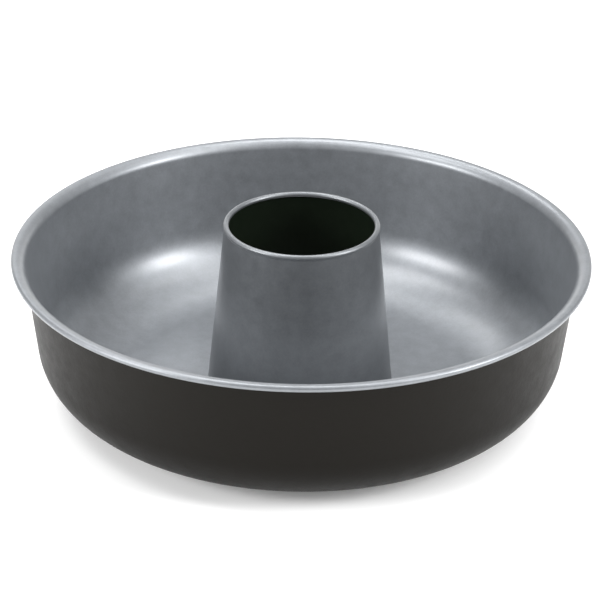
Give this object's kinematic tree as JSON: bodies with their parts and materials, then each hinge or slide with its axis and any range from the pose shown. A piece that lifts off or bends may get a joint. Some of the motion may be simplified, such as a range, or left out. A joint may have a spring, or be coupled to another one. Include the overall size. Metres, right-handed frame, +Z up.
{
  "type": "ring cake pan",
  "caption": "Round deep cake pan with a sloping wall, a rolled rim, a wide rounded floor corner and a tapered open centre tube fixed through the floor.",
  "frame": {"origin": "on the table, in the middle of the ring on which the pan stands, on the tube's axis", "axes": "+Z up along the tube's axis, out of the pan's open top; +X and +Y level, alike all round"},
  "size_m": [0.28, 0.28, 0.0889],
  "materials": {
    "pan_coat": "satin non-stick coat on steel sheet",
    "tube_coat": "satin non-stick coat on steel sheet"
  },
  "bodies": {
    "root": {"pan_body": "pan_coat", "centre_tube": "tube_coat"}
  },
  "joints": []
}
